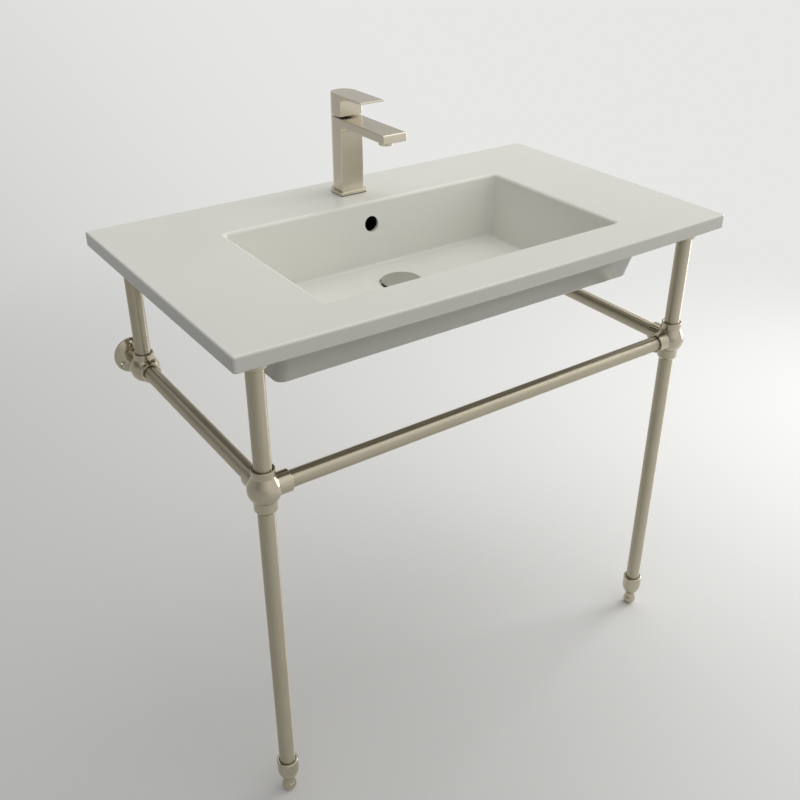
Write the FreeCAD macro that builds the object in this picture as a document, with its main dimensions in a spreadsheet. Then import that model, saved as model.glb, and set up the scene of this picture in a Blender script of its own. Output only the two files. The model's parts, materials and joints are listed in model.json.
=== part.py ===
import FreeCAD, Part
import math
import os

import Sketcher

# Console sink: a ceramic top with a rectangular bowl on a tubular stand fixed to the wall.
# Millimetres. X runs to the right, Y to the wall, Z up; the floor is Z = 0.

doc = FreeCAD.newDocument("console_sink")
sheet = doc.addObject("Spreadsheet::Sheet", "Sizes")

DRIVING = [
    # Ceramic top
    ("slab_width", 915),
    ("slab_depth", 541),
    ("slab_front_bow", 8),
    ("slab_thickness", 24),
    ("rim_height", 862),
    ("slab_corner_radius", 4.5),
    ("slab_edge_radius", 3.5),
    ("slab_under_radius", 2),
    ("bowl_width", 560),
    ("bowl_front_inset", 74.5),
    ("bowl_wall_distance", 138.5),
    ("bowl_depth", 112),
    ("bowl_end_slope", 23),
    ("bowl_back_slope", 17),
    ("bowl_front_slope", 45),
    ("bowl_corner_radius", 8),
    ("bowl_floor_radius", 5.5),
    ("bowl_rim_radius", 6),
    ("ceramic_wall", 13),
    ("box_end_reach", 75.5),
    ("box_end_slope", 2.5),
    ("box_side_shift", 9.5),
    ("box_front_inset", 76.5),
    ("box_front_slope", 36.5),
    ("box_wall_distance", 102.5),
    ("box_corner_radius", 16),
    ("box_edge_radius", 5.5),
    ("floor_thickness", 15),
    ("pocket_corner_radius", 9),
    # Overflow and drain passages in the ceramic
    ("overflow_diameter", 27.5),
    ("overflow_below_rim", 39),
    ("duct_width", 30),
    ("duct_depth", 14),
    ("duct_skin", 7),
    ("channel_width", 20),
    ("channel_height", 10),
    ("channel_skin", 6),
    ("drain_wall_distance", 236.5),
    ("dish_diameter", 150),
    ("dish_drop", 3.7),
    ("recess_diameter", 77),
    ("recess_drop", 5),
    ("hub_diameter", 88),
    # Tubes and their fittings
    ("tube_diameter", 26),
    ("tube_wall", 1.5),
    ("tube_fit", 0.05),
    ("leg_side_inset", 46.5),
    ("leg_front_inset", 39.5),
    ("upright_wall_distance", 59.5),
    ("rail_height", 626),
    ("socket_wall", 4.2),
    ("socket_lip_radius", 1),
    ("mouth_gap", 1.7),
    ("mouth_drop", 3),
    ("ball_bulge", 8),
    ("shoulder_rise", 11),
    ("core_web", 2.5),
    ("neck_up", 34),
    ("neck_down", 38),
    ("neck_chamfer", 4.5),
    ("rail_reach", 38.5),
    ("rear_bulge", 7.8),
    ("rear_neck_up", 29),
    ("rear_rail_reach", 29),
    ("wall_neck_diameter", 28),
    ("tenon_diameter", 19),
    ("tenon_length", 7),
    ("flange_diameter", 65),
    ("flange_edge", 3.2),
    ("flange_height", 10),
    ("flange_crown_step", 1),
    ("flange_hole_circle", 50),
    ("flange_hole_diameter", 5.2),
    ("flange_sink_diameter", 9.6),
    ("top_socket_wall", 4.7),
    ("top_socket_height", 16),
    ("top_socket_roof", 5),
    ("top_pad", 2),
    ("top_pad_inset", 1),
    ("grub_diameter", 6),
    ("grub_fit", 0.05),
    ("grub_key", 3),
    ("grub_inset", 6.5),
    ("grub_recess", 0.2),
    # Levelling feet
    ("foot_ball_diameter", 24),
    ("foot_flat_diameter", 9),
    ("foot_neck_diameter", 19.5),
    ("foot_neck_top", 29),
    ("cup_taper", 20),
    ("cup_height", 72),
    ("cup_clearance", 1.3),
    ("cup_wall", 3.6),
    ("cup_floor_height", 46),
    ("leg_end_height", 55),
    ("foot_stud_diameter", 12),
    ("foot_stud_fit", 0.06),
    ("foot_nut_length", 24),
    ("foot_stud_spare", 9),
    # Faucet
    ("faucet_wall_distance", 63),
    ("faucet_hole_diameter", 35),
    ("gasket_thickness", 1.5),
    ("gasket_inset", 0.8),
    ("plate_width", 55),
    ("plate_thickness", 5),
    ("plate_corner_radius", 4),
    ("plate_edge_radius", 1),
    ("column_width", 46),
    ("faucet_top", 134.5),
    ("column_edge_radius", 2.6),
    ("spout_reach", 132),
    ("spout_thickness", 14.5),
    ("spout_root_radius", 9),
    ("spout_top_radius", 1.4),
    ("spout_nose_radius", 3),
    ("shank_diameter", 31),
    ("shank_fit", 0.1),
    ("shank_lift", 4),
    ("inlet_diameter", 9),
    ("inlet_depth", 18),
    ("inlet_side", 7.5),
    ("inlet_front", 4),
    ("cartridge_diameter", 35),
    ("cartridge_fit", 0.05),
    ("cartridge_height", 34),
    ("cartridge_nut_height", 11.5),
    ("spindle_diameter", 15),
    ("spindle_fit", 0.06),
    ("water_bore_diameter", 7),
    # Lever
    ("lever_gap", 3),
    ("lever_front_inset", 1),
    ("lever_block_height", 36),
    ("lever_reach", 67),
    ("lever_root_thickness", 5),
    ("lever_tip_thickness", 3),
    ("lever_root_radius", 6),
    ("lever_front_radius", 1.9),
    ("lever_edge_radius", 0.8),
    ("lever_hollow_width", 15),
    ("lever_hollow_skin", 2.6),
    ("lever_hollow_height", 22),
    ("pivot_set_back", 14),
    ("pivot_height", 11),
    ("pivot_pin_diameter", 3.2),
    ("pivot_boss_diameter", 7),
    ("pivot_fit", 0.05),
    ("clevis_width", 11),
    ("stem_width", 5.4),
    ("stem_depth", 8),
    ("stem_socket", 7),
    ("stem_fit", 0.05),
    ("lever_screw_diameter", 4),
    ("lever_screw_key", 2),
    ("lever_screw_below_top", 9),
    # Aerator
    ("aerator_tip_distance", 27),
    ("aerator_diameter", 24.4),
    ("aerator_drop", 8.5),
    ("aerator_thread_diameter", 20),
    ("aerator_thread_length", 6),
    ("aerator_rim", 1.8),
    ("aerator_edge_radius", 1),
    ("aerator_recess", 1.2),
    ("aerator_grid_thickness", 2),
    ("aerator_jet_diameter", 2.2),
    # Faucet fixing under the deck
    ("fixing_stud_diameter", 8),
    ("fixing_stud_fit", 0.05),
    ("fixing_stud_back", 9),
    ("fixing_stud_depth", 16),
    ("fixing_stud_below", 44),
    ("horseshoe_diameter", 47),
    ("horseshoe_slot", 27),
    ("horseshoe_bridge", 3),
    ("rubber_thickness", 2.5),
    ("bracket_thickness", 2),
    ("fixing_nut_height", 14),
    ("fixing_nut_corner", 14.6),
    # Drain
    ("drain_gasket_thickness", 1),
    ("drain_flange_diameter", 70),
    ("drain_flange_thickness", 2.2),
    ("drain_bore_diameter", 38),
    ("drain_wall", 3.4),
    ("drain_hole_gap", 0.6),
    ("drain_below_hub", 26),
    ("tail_diameter", 31.75),
    ("tail_wall", 1.6),
    ("tail_thread_step", 0.5),
    ("tail_fit", 0.05),
    ("tail_socket", 13),
    ("tail_length", 50),
    ("tail_stop_gap", 1),
    ("drain_gasket_height", 8),
    ("drain_gasket_width", 10.5),
    ("drain_washer_thickness", 1.5),
    ("drain_nut_height", 11),
    ("drain_nut_corner", 68),
    ("window_width", 14),
    ("spider_hub_diameter", 17),
    ("spider_hub_height", 10),
    ("spider_rib", 3),
    ("click_diameter", 12),
    ("click_fit", 0.05),
    ("click_length", 34),
    ("click_skin", 5),
    ("click_collar", 3),
    # Stopper
    ("cap_diameter", 70),
    ("cap_stand", 4.2),
    ("cap_crown", 1.6),
    ("cap_thickness", 2.2),
    ("cap_edge_radius", 1.4),
    ("plug_diameter", 31),
    ("plug_drop", 1.5),
    ("seal_inset", 1.2),
    ("seal_gap", 0.4),
    ("stopper_stem_diameter", 8),
    ("stopper_stem_fit", 0.06),
    ("stopper_stem_length", 50),
]

for row, (alias, amount) in enumerate(DRIVING, start=1):
    sheet.set(f"A{row}", alias)
    sheet.set(f"B{row}", str(amount))
    sheet.setAlias(f"B{row}", alias)
doc.recompute()


class Size:
    """A length that keeps its sheet expression beside its present value."""

    def __init__(self, text, value):
        self.text = text
        self.value = value

    def __add__(self, other):
        other = as_size(other)
        return Size(f"({self.text} + {other.text})", self.value + other.value)

    def __sub__(self, other):
        other = as_size(other)
        return Size(f"({self.text} - {other.text})", self.value - other.value)

    def __mul__(self, other):
        other = as_size(other)
        return Size(f"({self.text} * {other.text})", self.value * other.value)

    def __truediv__(self, other):
        other = as_size(other)
        return Size(f"({self.text} / {other.text})", self.value / other.value)

    def __neg__(self):
        return Size(f"(0 - {self.text})", -self.value)

    def __radd__(self, other):
        return as_size(other) + self

    def __rsub__(self, other):
        return as_size(other) - self

    def __rmul__(self, other):
        return as_size(other) * self


def as_size(amount):
    if isinstance(amount, Size):
        return amount
    return Size(f"({amount})", float(amount))


def root(amount):
    return Size(f"sqrt({amount.text})", math.sqrt(amount.value))


def leg_of(hypotenuse, side):
    """The other side of a right triangle."""
    return root(hypotenuse * hypotenuse - side * side)


class Sheet:
    """Gives each alias of the sheet as a Size."""

    def __getattr__(self, alias):
        return Size(f"Sizes.{alias}", float(getattr(sheet, alias)))


S = Sheet()
pieces = []


def bind(item, name, amount):
    item.setExpression(name, as_size(amount).text)


def keep(item, label):
    """Names a finished piece and puts it on the list that is written out."""
    item.Label = label
    pieces.append(item)
    return item


TURN = {
    "x": FreeCAD.Rotation(FreeCAD.Vector(0, 1, 0), 90),
    "y": FreeCAD.Rotation(FreeCAD.Vector(1, 0, 0), -90),
    "z": FreeCAD.Rotation(),
}


def place(item, x, y, z, axis="z"):
    item.Placement = FreeCAD.Placement(FreeCAD.Vector(), TURN[axis])
    bind(item, "Placement.Base.x", x)
    bind(item, "Placement.Base.y", y)
    bind(item, "Placement.Base.z", z)


def spot(axis, along, first, second):
    """Puts a position along an axis and the two other coordinates in X, Y, Z order."""
    if axis == "x":
        return along, first, second
    if axis == "y":
        return first, along, second
    return first, second, along


def rod(name, axis, radius, start, stop, first, second):
    """A cylinder between two positions along an axis."""
    low, high = sorted((as_size(start), as_size(stop)), key=lambda end: end.value)
    item = doc.addObject("Part::Cylinder", name)
    bind(item, "Radius", radius)
    bind(item, "Height", high - low)
    place(item, *spot(axis, low, first, second), axis)
    return item


def cone(name, axis, start_radius, stop_radius, start, stop, first, second):
    """A cone between two positions along an axis, start lower than stop."""
    item = doc.addObject("Part::Cone", name)
    bind(item, "Radius1", start_radius)
    bind(item, "Radius2", stop_radius)
    bind(item, "Height", stop - start)
    place(item, *spot(axis, start, first, second), axis)
    return item


def ball(name, radius, x, y, z):
    item = doc.addObject("Part::Sphere", name)
    bind(item, "Radius", radius)
    place(item, x, y, z)
    return item


def block(name, x_span, y_span, z_span):
    """A box between pairs of coordinates."""
    item = doc.addObject("Part::Box", name)
    lows = []
    for side, span in zip(("Length", "Width", "Height"), (x_span, y_span, z_span)):
        low, high = sorted((as_size(span[0]), as_size(span[1])), key=lambda end: end.value)
        bind(item, side, high - low)
        lows.append(low)
    place(item, *lows)
    return item


def hexagon(name, axis, corner_radius, start, stop, first, second):
    item = doc.addObject("Part::Prism", name)
    item.Polygon = 6
    bind(item, "Circumradius", corner_radius)
    bind(item, "Height", stop - start)
    place(item, *spot(axis, start, first, second), axis)
    return item


def fuse(name, items):
    item = doc.addObject("Part::MultiFuse", name)
    item.Shapes = items
    return item


def cut(name, base, tools):
    item = doc.addObject("Part::Cut", name)
    item.Base = base
    item.Tool = tools[0] if len(tools) == 1 else fuse(f"{name}_tools", tools)
    return item


def group(name, items):
    item = doc.addObject("Part::Compound", name)
    item.Links = items
    return item


def soften(name, base, radius, chosen):
    """Rounds the edges of a solid that the test picks."""
    doc.recompute()
    edges = []
    for index, edge in enumerate(base.Shape.Edges, start=1):
        if chosen(edge):
            edges.append((index, radius.value, radius.value))
    item = doc.addObject("Part::Fillet", name)
    item.Base = base
    item.Edges = edges
    return item


def make_body(name):
    return doc.addObject("PartDesign::Body", name)


def draw(body, name, role, offset=None):
    """A sketch on one of the body's own origin planes."""
    sketch = body.newObject("Sketcher::SketchObject", name)
    plane = [item for item in body.Origin.OriginFeatures if item.Role == role][0]
    sketch.AttachmentSupport = [(plane, "")]
    sketch.MapMode = "FlatFace"
    if offset is not None:
        bind(sketch, "AttachmentOffset.Base.z", offset)
    return sketch


def pin(sketch, geometry, end, x, y):
    """Ties a sketch point to sheet sizes."""
    for kind, amount, axis in (("DistanceX", as_size(x), -2), ("DistanceY", as_size(y), -1)):
        if amount.text == "(0)":
            sketch.addConstraint(Sketcher.Constraint("PointOnObject", geometry, end, axis))
            continue
        index = sketch.addConstraint(Sketcher.Constraint(kind, -1, 1, geometry, end, amount.value))
        sketch.setExpression(f"Constraints[{index}]", amount.text)


def arc_between(start, stop, radius):
    """An arc to the left of travel for a positive radius, to the right for a negative one."""
    chord = stop - start
    middle = (start + stop) * 0.5
    rise = math.sqrt(max(radius * radius - chord.Length ** 2 / 4, 0))
    left = FreeCAD.Vector(-chord.y, chord.x, 0).normalize()
    centre = middle + left * math.copysign(rise, radius)
    ends = (start, stop) if radius > 0 else (stop, start)
    angles = [math.atan2(end.y - centre.y, end.x - centre.x) for end in ends]
    if angles[1] < angles[0]:
        angles[1] += 2 * math.pi
    circle = Part.Circle(centre, FreeCAD.Vector(0, 0, 1), abs(radius))
    return Part.ArcOfCircle(circle, angles[0], angles[1])


def outline(sketch, points):
    """A closed outline; a third entry at a point makes the next side an arc of that radius."""
    base = sketch.GeometryCount
    count = len(points)
    corners = [FreeCAD.Vector(as_size(p[0]).value, as_size(p[1]).value, 0) for p in points]
    ends = []
    for index, point in enumerate(points):
        start = corners[index]
        stop = corners[(index + 1) % count]
        if len(point) == 2:
            sketch.addGeometry(Part.LineSegment(start, stop))
            ends.append((1, 2))
        else:
            sketch.addGeometry(arc_between(start, stop, point[2].value))
            ends.append((1, 2) if point[2].value > 0 else (2, 1))
    for index in range(count):
        after = (index + 1) % count
        sketch.addConstraint(
            Sketcher.Constraint("Coincident", base + index, ends[index][1], base + after, ends[after][0])
        )
    for index, point in enumerate(points):
        pin(sketch, base + index, ends[index][0], point[0], point[1])
        if len(point) == 3:
            radius = point[2] if point[2].value > 0 else -point[2]
            number = sketch.addConstraint(Sketcher.Constraint("Radius", base + index, radius.value))
            sketch.setExpression(f"Constraints[{number}]", radius.text)


def rectangle(sketch, x_span, y_span):
    outline(
        sketch,
        [
            (x_span[0], y_span[0]),
            (x_span[1], y_span[0]),
            (x_span[1], y_span[1]),
            (x_span[0], y_span[1]),
        ],
    )


def d_shape(sketch, half, face, axis):
    """A flat front face with a half-round back about the axis."""
    outline(
        sketch,
        [(-half, face), (half, face), (half, axis, half), (0, axis + half, half), (-half, axis)],
    )


def circle(sketch, x, y, radius):
    centre = FreeCAD.Vector(as_size(x).value, as_size(y).value, 0)
    number = sketch.addGeometry(Part.Circle(centre, FreeCAD.Vector(0, 0, 1), radius.value))
    pin(sketch, number, 3, x, y)
    index = sketch.addConstraint(Sketcher.Constraint("Radius", number, radius.value))
    sketch.setExpression(f"Constraints[{index}]", radius.text)


def pad(body, sketch, length, side="One side", down=False):
    feature = body.newObject("PartDesign::Pad", f"{sketch.Name}_pad")
    feature.Profile = sketch
    feature.SideType = side
    feature.Reversed = down
    bind(feature, "Length", length)
    return feature


def loft(body, kind, first, second):
    feature = body.newObject(f"PartDesign::{kind}", f"{first.Name}_loft")
    feature.Profile = first
    feature.Sections = [second]
    feature.Ruled = True
    return feature


def round_body(body, name, radius, chosen):
    """Rounds the edges of a body that the test picks."""
    doc.recompute()
    names = [f"Edge{i}" for i, edge in enumerate(body.Shape.Edges, start=1) if chosen(edge)]
    base = body.Tip
    feature = body.newObject("PartDesign::Fillet", name)
    feature.Base = (base, names)
    bind(feature, "Radius", radius)
    return feature


def turned(name, points, x, y, z, axis="z"):
    """A turned piece; points are (radius, height) along its own axis."""
    body = make_body(name)
    sketch = draw(body, f"{name}_profile", "XZ_Plane")
    outline(sketch, points)
    feature = body.newObject("PartDesign::Revolution", f"{name}_turn")
    feature.Profile = sketch
    feature.ReferenceAxis = (sketch, ["V_Axis"])
    feature.Angle = 360
    place(body, x, y, z, axis)
    return body


def pipe(name, axis, radius, bore, start, stop, first, second):
    """A plain tube."""
    outer = rod(f"{name}_outer", axis, radius, start, stop, first, second)
    inner = rod(f"{name}_inner", axis, bore, start, stop, first, second)
    return cut(name, outer, [inner])


def near(one, other):
    return abs(one - as_size(other).value) < 0.01


def flat_at(edge, height):
    """True for an edge that lies wholly at one height."""
    box = edge.BoundBox
    return near(box.ZMin, height) and near(box.ZMax, height)


# Shared positions
wall = S.slab_depth / 2
bow_front = -wall
front = bow_front + S.slab_front_bow
half_width = S.slab_width / 2
top = S.rim_height
under = S.rim_height - S.slab_thickness
floor = S.rim_height - S.bowl_depth
box_bottom = floor - S.floor_thickness
leg_x = half_width - S.leg_side_inset
leg_y = front + S.leg_front_inset
rear_y = wall - S.upright_wall_distance
drain_y = wall - S.drain_wall_distance
faucet_y = wall - S.faucet_wall_distance
tube_r = S.tube_diameter / 2
bore_r = tube_r + S.tube_fit
socket_r = tube_r + S.socket_wall
mouth_r = tube_r + S.mouth_gap
core = tube_r + S.core_web

# Ceramic top: slab, box under it, pockets in the ends of the box, bowl
basin = make_body("basin_blank")
slab_outline = draw(basin, "slab_outline", "XY_Plane", under)
bow_radius = (half_width * half_width + S.slab_front_bow * S.slab_front_bow) / (S.slab_front_bow * 2)
outline(
    slab_outline,
    [(-half_width, front, bow_radius), (half_width, front), (half_width, wall), (-half_width, wall)],
)
pad(basin, slab_outline, S.slab_thickness)
round_body(
    basin,
    "slab_corners",
    S.slab_corner_radius,
    lambda edge: edge.BoundBox.ZLength > 1,
)
round_body(basin, "slab_top_edge", S.slab_edge_radius, lambda edge: flat_at(edge, top))
round_body(basin, "slab_under_edge", S.slab_under_radius, lambda edge: flat_at(edge, under))

bowl_x = S.bowl_width / 2
box_top_x = bowl_x + S.box_end_reach
box_low_x = box_top_x - S.box_end_slope
box_top_front = front + S.box_front_inset
box_low_front = box_top_front + S.box_front_slope
box_back = wall - S.box_wall_distance
box_top_outline = draw(basin, "box_top_outline", "XY_Plane", under)
box_top_span = (S.box_side_shift - box_top_x, S.box_side_shift + box_top_x)
rectangle(box_top_outline, box_top_span, (box_top_front, box_back))
box_low_outline = draw(basin, "box_low_outline", "XY_Plane", box_bottom)
box_low_span = (S.box_side_shift - box_low_x, S.box_side_shift + box_low_x)
rectangle(box_low_outline, box_low_span, (box_low_front, box_back))
loft(basin, "AdditiveLoft", box_top_outline, box_low_outline)
round_body(
    basin,
    "box_corners",
    S.box_corner_radius,
    lambda edge: near(edge.BoundBox.ZMin, box_bottom) and near(edge.BoundBox.ZMax, under),
)
round_body(basin, "box_low_edge", S.box_edge_radius, lambda edge: flat_at(edge, box_bottom))

bowl_back = wall - S.bowl_wall_distance
bowl_front = front + S.bowl_front_inset
floor_x = bowl_x - S.bowl_end_slope
floor_back = bowl_back - S.bowl_back_slope
floor_front = bowl_front + S.bowl_front_slope
for side, hand in ((-1, "left"), (1, "right")):
    low = draw(basin, f"pocket_low_{hand}", "XY_Plane", box_bottom)
    low_span = [(floor_x + S.ceramic_wall) * side, S.box_side_shift + (box_low_x - S.ceramic_wall) * side]
    rectangle(low, low_span, (box_low_front + S.ceramic_wall, box_back - S.ceramic_wall))
    high = draw(basin, f"pocket_high_{hand}", "XY_Plane", under)
    high_span = [(bowl_x + S.ceramic_wall) * side, S.box_side_shift + (box_top_x - S.ceramic_wall) * side]
    rectangle(high, high_span, (box_top_front + S.ceramic_wall, box_back - S.ceramic_wall))
    loft(basin, "SubtractiveLoft", low, high)
    pocket_inner = floor_x + S.ceramic_wall / 2
    round_body(
        basin,
        f"pocket_corners_{hand}",
        S.pocket_corner_radius,
        lambda edge: near(edge.BoundBox.ZMin, box_bottom)
        and near(edge.BoundBox.ZMax, under)
        and edge.CenterOfMass.x * side > pocket_inner.value,
    )

hub_bottom = box_bottom - S.channel_height - S.channel_skin * 2
hub_outline = draw(basin, "hub_outline", "XY_Plane", box_bottom)
circle(hub_outline, 0, drain_y, S.hub_diameter / 2)
pad(basin, hub_outline, box_bottom - hub_bottom, down=True)
channel_x = S.channel_width / 2
housing_x = S.duct_width / 2 + S.channel_skin
duct_front = bowl_back - S.bowl_back_slope * S.overflow_below_rim / S.bowl_depth + S.duct_skin
duct_back = duct_front + S.duct_depth
housing_outline = draw(basin, "housing_outline", "XY_Plane", box_bottom)
rectangle(housing_outline, (-housing_x, housing_x), (drain_y, duct_back + S.channel_skin))
pad(basin, housing_outline, box_bottom - hub_bottom, down=True)

rim_outline = draw(basin, "rim_outline", "XY_Plane", top)
rectangle(rim_outline, (-bowl_x, bowl_x), (bowl_front, bowl_back))
floor_outline = draw(basin, "floor_outline", "XY_Plane", floor)
rectangle(floor_outline, (-floor_x, floor_x), (floor_front, floor_back))
loft(basin, "SubtractiveLoft", rim_outline, floor_outline)
round_body(
    basin,
    "bowl_corners",
    S.bowl_corner_radius,
    lambda edge: near(edge.BoundBox.ZMin, floor) and near(edge.BoundBox.ZMax, top),
)
round_body(basin, "bowl_floor_edge", S.bowl_floor_radius, lambda edge: flat_at(edge, floor))
rim_limit = bowl_x + S.bowl_rim_radius
round_body(
    basin,
    "bowl_rim_edge",
    S.bowl_rim_radius,
    lambda edge: flat_at(edge, top) and abs(edge.CenterOfMass.x) < rim_limit.value
    and abs(edge.CenterOfMass.y) < wall.value - S.bowl_wall_distance.value / 2,
)

dish_low = floor - S.dish_drop
recess_floor = dish_low - S.recess_drop
recess_r = S.recess_diameter / 2
drain_outer_r = S.drain_bore_diameter / 2 + S.drain_wall
drain_hole_r = drain_outer_r + S.drain_hole_gap
channel_low = hub_bottom + S.channel_skin
channel_high = channel_low + S.channel_height
overflow_z = top - S.overflow_below_rim
overflow_r = S.overflow_diameter / 2
passages = [
    cone("dish", "z", recess_r, S.dish_diameter / 2, dish_low, floor, 0, drain_y),
    rod("recess", "z", recess_r, recess_floor, floor, 0, drain_y),
    rod("drain_hole", "z", drain_hole_r, hub_bottom, floor, 0, drain_y),
    rod("faucet_hole", "z", S.faucet_hole_diameter / 2, under, top, 0, faucet_y),
    rod("overflow_hole", "y", overflow_r, floor_back, duct_front + S.duct_depth / 2, 0, overflow_z),
    block(
        "overflow_duct",
        (S.duct_width / -2, S.duct_width / 2),
        (duct_front, duct_back),
        (channel_low, overflow_z + overflow_r),
    ),
    block("overflow_channel", (-channel_x, channel_x), (drain_y, duct_back), (channel_low, channel_high)),
]
keep(cut("basin_top", basin, passages), "basin_top")

# Stand: legs, rails, fittings and wall flanges
top_socket_r = tube_r + S.top_socket_wall
top_socket_high = under - S.top_pad
top_socket_low = top_socket_high - S.top_socket_height
leg_top = top_socket_high - S.top_socket_roof
inner_r = tube_r - S.tube_wall
grubs = []
grub_r = S.grub_diameter / 2
grub_hole_r = grub_r + S.grub_fit


def grub(name, axis, start, stop, first, second):
    """A set screw with a key recess in its outer end; start is the end on the tube."""
    low, high = sorted((start, stop), key=lambda end: end.value)
    middle = (low + high) / 2
    key_low, key_high = (middle, high) if stop.value > start.value else (low, middle)
    shank = rod(f"{name}_shank", axis, grub_r, low, high, first, second)
    key = hexagon(f"{name}_key", axis, S.grub_key / math.sqrt(3), key_low, key_high, first, second)
    grubs.append(cut(name, shank, [key]))


def socket(name, axis, sign, reach, first, second, middle):
    """One socket of a fitting: its barrel, its bore and the recess at its mouth."""
    barrel = rod(f"{name}_barrel", axis, socket_r, middle, middle + reach * sign, first, second)
    bore = rod(f"{name}_bore", axis, bore_r, middle + core * sign, middle + reach * sign, first, second)
    mouth_start = middle + (reach - S.mouth_drop) * sign
    mouth = rod(f"{name}_mouth", axis, mouth_r, mouth_start, middle + reach * sign, first, second)
    return barrel, bore, mouth


def mouth_edge(edge, low_limit):
    """True for the round outer edge at a socket's mouth, away from the middle of the fitting."""
    if edge.Degenerated or not isinstance(edge.Curve, Part.Circle):
        return False
    return near(edge.Curve.Radius, socket_r) and low_limit(edge.Curve.Center)


ball_r = socket_r + S.ball_bulge
shoulder_r = leg_of(ball_r, S.shoulder_rise)
shoulder_top = S.shoulder_rise + (shoulder_r - socket_r) * shoulder_r / S.shoulder_rise
for side, hand in ((-1, "left"), (1, "right")):
    x = leg_x * side
    inward = -side

    # Front corner fitting with four sockets, its ball drawn out into a shoulder under the upper one
    name = f"{hand}_corner"
    up, up_bore, up_mouth = socket(f"{name}_up", "z", 1, S.neck_up, x, leg_y, S.rail_height)
    down, down_bore, down_mouth = socket(f"{name}_down", "z", -1, S.neck_down, x, leg_y, S.rail_height)
    across, across_bore, across_mouth = socket(
        f"{name}_across", "x", inward, S.rail_reach, leg_y, S.rail_height, x
    )
    back, back_bore, back_mouth = socket(f"{name}_back", "y", 1, S.rail_reach, x, S.rail_height, leg_y)
    hub = turned(
        f"{name}_hub",
        [
            (0, -S.neck_down),
            (socket_r, -S.neck_down),
            (socket_r, -leg_of(ball_r, socket_r), ball_r),
            (shoulder_r, S.shoulder_rise),
            (socket_r, shoulder_top),
            (socket_r, S.neck_up),
            (0, S.neck_up),
        ],
        x,
        leg_y,
        S.rail_height,
    )
    shell = fuse(f"{name}_shell", [hub, across, back])
    rail_top = S.rail_height + S.neck_up
    rail_low = S.rail_height - S.neck_down
    softened = soften(
        f"{name}_lips",
        shell,
        S.socket_lip_radius,
        lambda edge: mouth_edge(
            edge,
            lambda centre: near(centre.z, rail_top)
            or near(centre.x, x + S.rail_reach * inward)
            or near(centre.y, leg_y + S.rail_reach),
        ),
    )
    taper_high = rail_low + S.neck_chamfer
    skirt = cut(
        f"{name}_skirt",
        rod(f"{name}_skirt_outer", "z", socket_r + 1, rail_low, taper_high, x, leg_y),
        [
            cone(
                f"{name}_skirt_inner", "z", tube_r + S.mouth_gap / 2, socket_r,
                rail_low, taper_high, x, leg_y,
            )
        ],
    )
    grub_reach = core + S.grub_inset
    grub_reach_up = S.rail_height + grub_reach
    grub_reach_down = S.rail_height - grub_reach
    outside = socket_r - S.grub_recess
    up_hole = rod(f"{name}_up_hole", "y", grub_hole_r, leg_y, leg_y + ball_r, x, grub_reach_up)
    down_hole = rod(f"{name}_down_hole", "y", grub_hole_r, leg_y, leg_y + ball_r, x, grub_reach_down)
    across_hole = rod(
        f"{name}_across_hole", "z", grub_hole_r, S.rail_height - ball_r, S.rail_height,
        x + grub_reach * inward, leg_y,
    )
    back_hole = rod(
        f"{name}_back_hole", "z", grub_hole_r, S.rail_height - ball_r, S.rail_height, x, leg_y + grub_reach
    )
    grub(f"{name}_up_grub", "y", leg_y + tube_r, leg_y + outside, x, grub_reach_up)
    grub(f"{name}_down_grub", "y", leg_y + tube_r, leg_y + outside, x, grub_reach_down)
    rail_under = S.rail_height - tube_r
    rail_outside = S.rail_height - outside
    grub(f"{name}_across_grub", "z", rail_under, rail_outside, x + grub_reach * inward, leg_y)
    grub(f"{name}_back_grub", "z", rail_under, rail_outside, x, leg_y + grub_reach)
    corner = cut(
        f"{name}_fitting",
        softened,
        [up_bore, up_mouth, down_bore, across_bore, across_mouth, back_bore, back_mouth, skirt,
         up_hole, down_hole, across_hole, back_hole],
    )
    for spare in (up, down, down_mouth):
        doc.removeObject(spare.Name)
    keep(corner, f"{hand}_corner_fitting")

    # Rear fitting with a neck to the wall
    name = f"{hand}_rear"
    up, up_bore, up_mouth = socket(f"{name}_up", "z", 1, S.rear_neck_up, x, rear_y, S.rail_height)
    ahead, ahead_bore, ahead_mouth = socket(
        f"{name}_ahead", "y", -1, S.rear_rail_reach, x, S.rail_height, rear_y
    )
    neck_end = wall - S.flange_height
    neck = rod(f"{name}_neck", "y", S.wall_neck_diameter / 2, rear_y, neck_end, x, S.rail_height)
    tenon = rod(
        f"{name}_tenon", "y", S.tenon_diameter / 2, rear_y, neck_end + S.tenon_length, x, S.rail_height
    )
    rear_ball = ball(f"{name}_ball", socket_r + S.rear_bulge, x, rear_y, S.rail_height)
    shell = fuse(f"{name}_shell", [rear_ball, up, ahead, neck, tenon])
    rear_top = S.rail_height + S.rear_neck_up
    softened = soften(
        f"{name}_lips",
        shell,
        S.socket_lip_radius,
        lambda edge: mouth_edge(
            edge,
            lambda centre: near(centre.z, rear_top) or near(centre.y, rear_y - S.rear_rail_reach),
        ),
    )
    rear_up = S.rail_height + grub_reach
    rear_ahead = rear_y - grub_reach
    up_hole = rod(f"{name}_up_hole", "y", grub_hole_r, rear_y, rear_y + socket_r, x, rear_up)
    ahead_hole = rod(
        f"{name}_ahead_hole", "z", grub_hole_r, S.rail_height - socket_r, S.rail_height, x, rear_ahead
    )
    grub(f"{name}_up_grub", "y", rear_y + tube_r, rear_y + outside, x, rear_up)
    grub(f"{name}_ahead_grub", "z", rail_under, rail_outside, x, rear_ahead)
    rear = cut(
        f"{name}_fitting", softened, [up_bore, up_mouth, ahead_bore, ahead_mouth, up_hole, ahead_hole]
    )
    keep(rear, f"{hand}_rear_fitting")

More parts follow.
